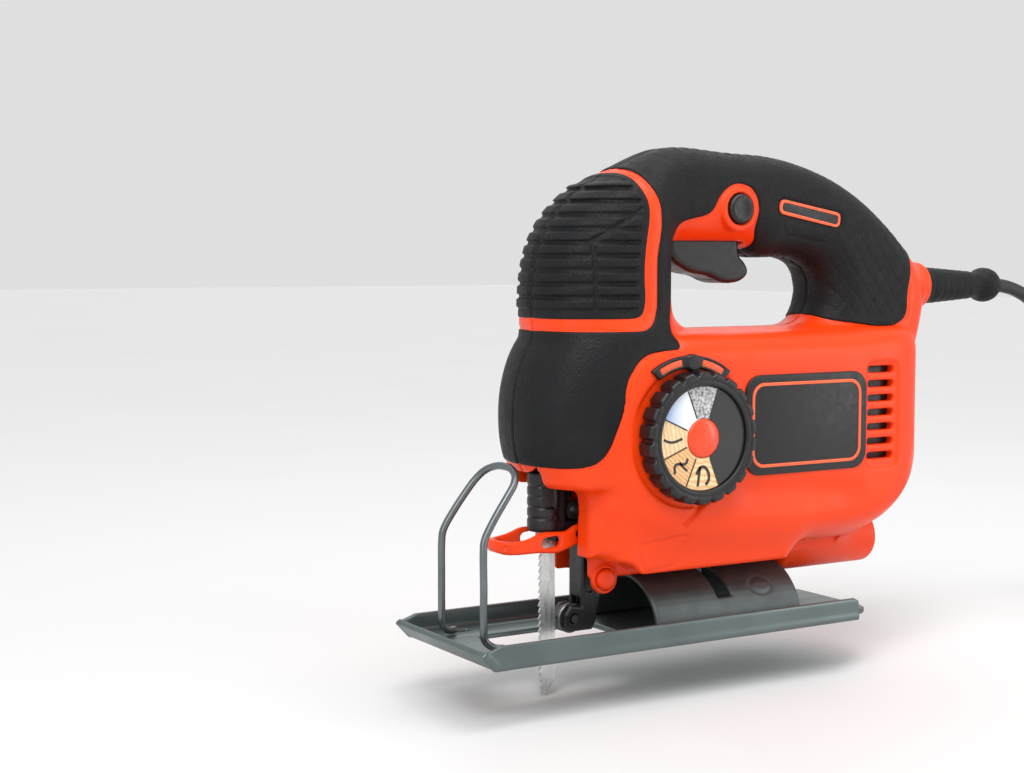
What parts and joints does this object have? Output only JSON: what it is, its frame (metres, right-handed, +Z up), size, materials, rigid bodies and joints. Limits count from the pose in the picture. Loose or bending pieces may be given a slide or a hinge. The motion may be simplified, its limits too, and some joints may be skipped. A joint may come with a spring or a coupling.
{
  "type": "corded jigsaw power tool",
  "caption": "Hand-held corded jigsaw with looped handle, side selector dial, sliding blade in a lever clamp, tilting steel sole, wire guard, coiled cord and plug.",
  "frame": {"origin": "on the underside of the sole plate, on its centre line and on the tilt axis, 100 mm behind its front edge", "axes": "-X is the front, towards the blade; -Y is the operator's left, the dial's side; +Z is up, so the sole faces -Z"},
  "size_m": [0.5172, 0.1044, 0.2383],
  "materials": {
    "orange_abs": "satin moulded plastic",
    "black_tpe": "matt stippled soft overmould",
    "black_plastic": "satin black plastic",
    "label_print": "printed disc",
    "orange_cap": "gloss",
    "grey_steel": "grey coated pressed steel",
    "bright_steel": "ground steel",
    "hard_steel": "hardened steel",
    "copper": "turned copper",
    "laminations": "stacked laminations",
    "graphite": "pressed carbon",
    "brass": "plain brass",
    "cord_rubber": "matt rubber sheath"
  },
  "bodies": {
    "tool": {"arm_pivot_pin": "hard_steel", "badge_left": "black_plastic", "badge_right": "black_plastic", "bearing_front": "bright_steel", "bearing_rear": "bright_steel", "brush_holder_left": "brass", "brush_holder_right": "brass", "bushing_lower": "brass", "bushing_upper": "brass", "carbon_brush_left": "graphite", "carbon_brush_right": "graphite", "cord_coil": "cord_rubber", "cord_lead": "cord_rubber", "cord_tail": "cord_rubber", "dial_pointer": "black_plastic", "gear_axle": "hard_steel", "gear_plate": "grey_steel", "grip_left": "black_tpe", "grip_right": "black_tpe", "housing_left": "orange_abs", "housing_right": "orange_abs", "housing_screw_1": "hard_steel", "housing_screw_2": "hard_steel", "housing_screw_3": "hard_steel", "nose_pad_left": "black_tpe", "nose_pad_right": "black_tpe", "plug_body": "black_plastic", "plug_pin_a": "brass", "plug_pin_b": "brass", "shoe_screw": "hard_steel", "speed_module": "black_plastic", "stator_core": "laminations", "strain_relief": "black_tpe", "switch_body": "black_plastic"},
    "plunger": {"plunger_rod": "bright_steel", "plunger_yoke": "grey_steel", "blade_clamp_body": "black_plastic", "clamp_spring": "hard_steel", "lever_pin": "hard_steel", "saw_blade": "bright_steel"},
    "lever": {"clamp_lever": "orange_abs"},
    "roller_arm_body": {"roller_arm": "black_plastic", "roller_pin": "hard_steel"},
    "roller": {"guide_roller": "hard_steel"},
    "dial": {"selector_dial": "black_plastic", "dial_label": "label_print", "dial_cap": "orange_cap"},
    "trigger_body": {"trigger": "black_plastic"},
    "lock": {"lock_button": "black_plastic"},
    "blower": {"blower_button": "orange_abs"},
    "shoe": {"shoe_plate": "grey_steel", "shoe_arch": "grey_steel", "wire_guard": "bright_steel"},
    "motor": {"motor_shaft": "hard_steel", "armature_core": "laminations", "commutator": "copper", "motor_fan": "black_plastic"},
    "gear": {"drive_gear": "hard_steel", "crank_pin": "hard_steel"}
  },
  "joints": [
    {"name": "blade_stroke", "type": "slide", "parent": "tool", "child": "plunger", "axis": [0, 0, 1], "range_m": [-0.02, 0]},
    {"name": "clamp_lever_lift", "type": "hinge", "parent": "plunger", "child": "lever", "pos_m": [-0.04, 0, 0.047], "axis": [0, 1, 0], "range_deg": [0, 28], "stiffness_Nm_per_rad": 0.06, "springref_deg": -17.19},
    {"name": "roller_arm_swing", "type": "hinge", "parent": "tool", "child": "roller_arm_body", "pos_m": [-0.0315, 0, 0.055], "axis": [0, -1, 0], "range_deg": [0, 3]},
    {"name": "roller_spin", "type": "hinge", "parent": "roller_arm_body", "child": "roller", "pos_m": [-0.0394, 0, 0.009], "axis": [0, 1, 0], "continuous": true},
    {"name": "dial_turn", "type": "hinge", "parent": "tool", "child": "dial", "pos_m": [0, -0.036, 0.089], "axis": [0, -1, 0], "range_deg": [-90, 90]},
    {"name": "trigger_pull", "type": "slide", "parent": "tool", "child": "trigger_body", "axis": [0, 0, 1], "range_m": [0, 0.0045], "stiffness_N_per_m": 600, "springref_m": -0.004},
    {"name": "lock_press", "type": "slide", "parent": "tool", "child": "lock", "axis": [0, 1, 0], "range_m": [0, 0.003], "stiffness_N_per_m": 400, "springref_m": -0.002},
    {"name": "blower_press", "type": "slide", "parent": "tool", "child": "blower", "axis": [0, 1, 0], "range_m": [0, 0.002]},
    {"name": "shoe_tilt", "type": "hinge", "parent": "tool", "child": "shoe", "pos_m": [0, 0, 0], "axis": [1, 0, 0], "range_deg": [-45, 45]},
    {"name": "motor_spin", "type": "hinge", "parent": "tool", "child": "motor", "pos_m": [0, 0, 0.084], "axis": [1, 0, 0], "continuous": true},
    {"name": "gear_spin", "type": "hinge", "parent": "tool", "child": "gear", "pos_m": [-0.03, 0, 0.1128], "axis": [1, 0, 0], "continuous": true}
  ],
  "couplings": [
    {"joint": "gear_spin", "follows": "motor_spin", "ratio": -0.2}
  ]
}
